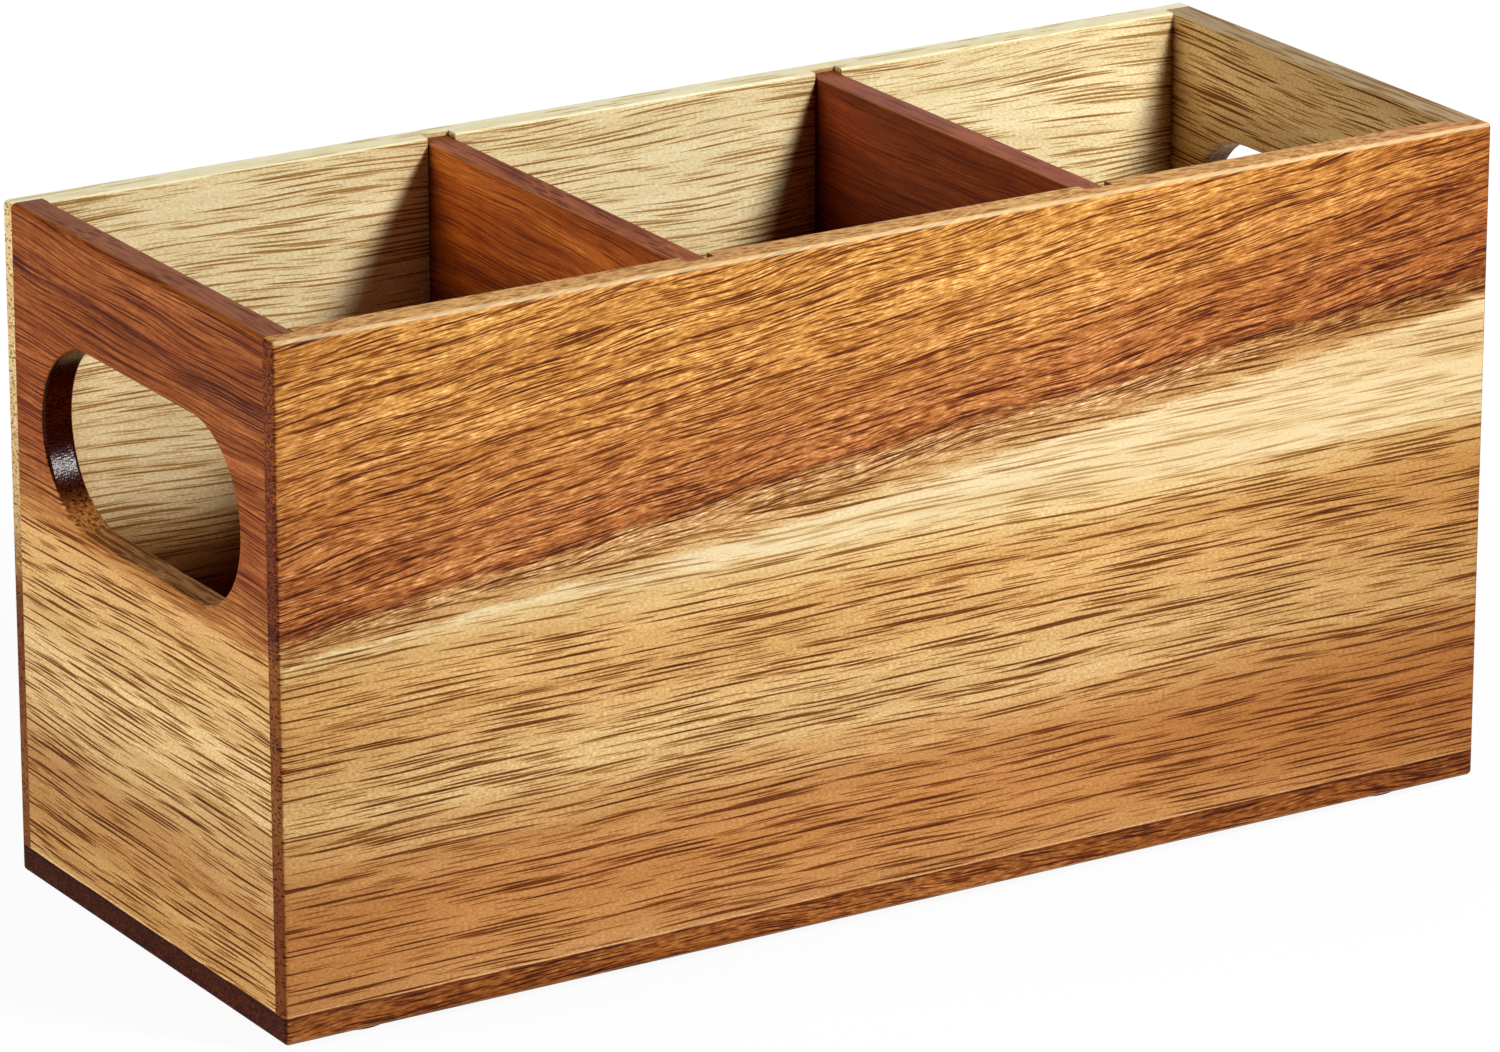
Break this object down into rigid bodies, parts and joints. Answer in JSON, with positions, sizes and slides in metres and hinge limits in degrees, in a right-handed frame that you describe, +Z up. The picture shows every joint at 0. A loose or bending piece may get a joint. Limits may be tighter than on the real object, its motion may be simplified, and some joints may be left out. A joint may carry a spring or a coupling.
{
  "type": "utensil holder",
  "caption": "Open rectangular wooden caddy with lift-out dividers and a round-ended hand slot in each end, for standing kitchen utensils and cutlery upright.",
  "frame": {"origin": "middle of the footprint, at the underside of the pads", "axes": "+X along the length, +Y from the front panel to the back panel, +Z up"},
  "size_m": [0.305, 0.12, 0.155],
  "materials": {
    "acacia_front": "acacia heartwood and sapwood, satin oil",
    "acacia_back": "pale acacia sapwood, satin oil",
    "acacia_left_end": "acacia heartwood and sapwood, satin oil",
    "acacia_right_end": "tan acacia, satin oil",
    "acacia_base": "dark acacia heartwood, satin oil",
    "acacia_divider": "dark acacia heartwood, satin oil",
    "rubber_pad": "matt black rubber"
  },
  "bodies": {
    "carcass": {"front_panel": "acacia_front", "back_panel": "acacia_back", "left_end_panel": "acacia_left_end", "right_end_panel": "acacia_right_end", "base_board": "acacia_base", "front_left_foot": "rubber_pad", "front_right_foot": "rubber_pad", "back_left_foot": "rubber_pad", "back_right_foot": "rubber_pad"},
    "left_partition": {"left_divider": "acacia_divider"},
    "right_partition": {"right_divider": "acacia_divider"}
  },
  "joints": [
    {"name": "left_divider_lift", "type": "slide", "parent": "carcass", "child": "left_partition", "axis": [0, 0, 1], "range_m": [0, 0.155]},
    {"name": "right_divider_lift", "type": "slide", "parent": "carcass", "child": "right_partition", "axis": [0, 0, 1], "range_m": [0, 0.155]}
  ]
}
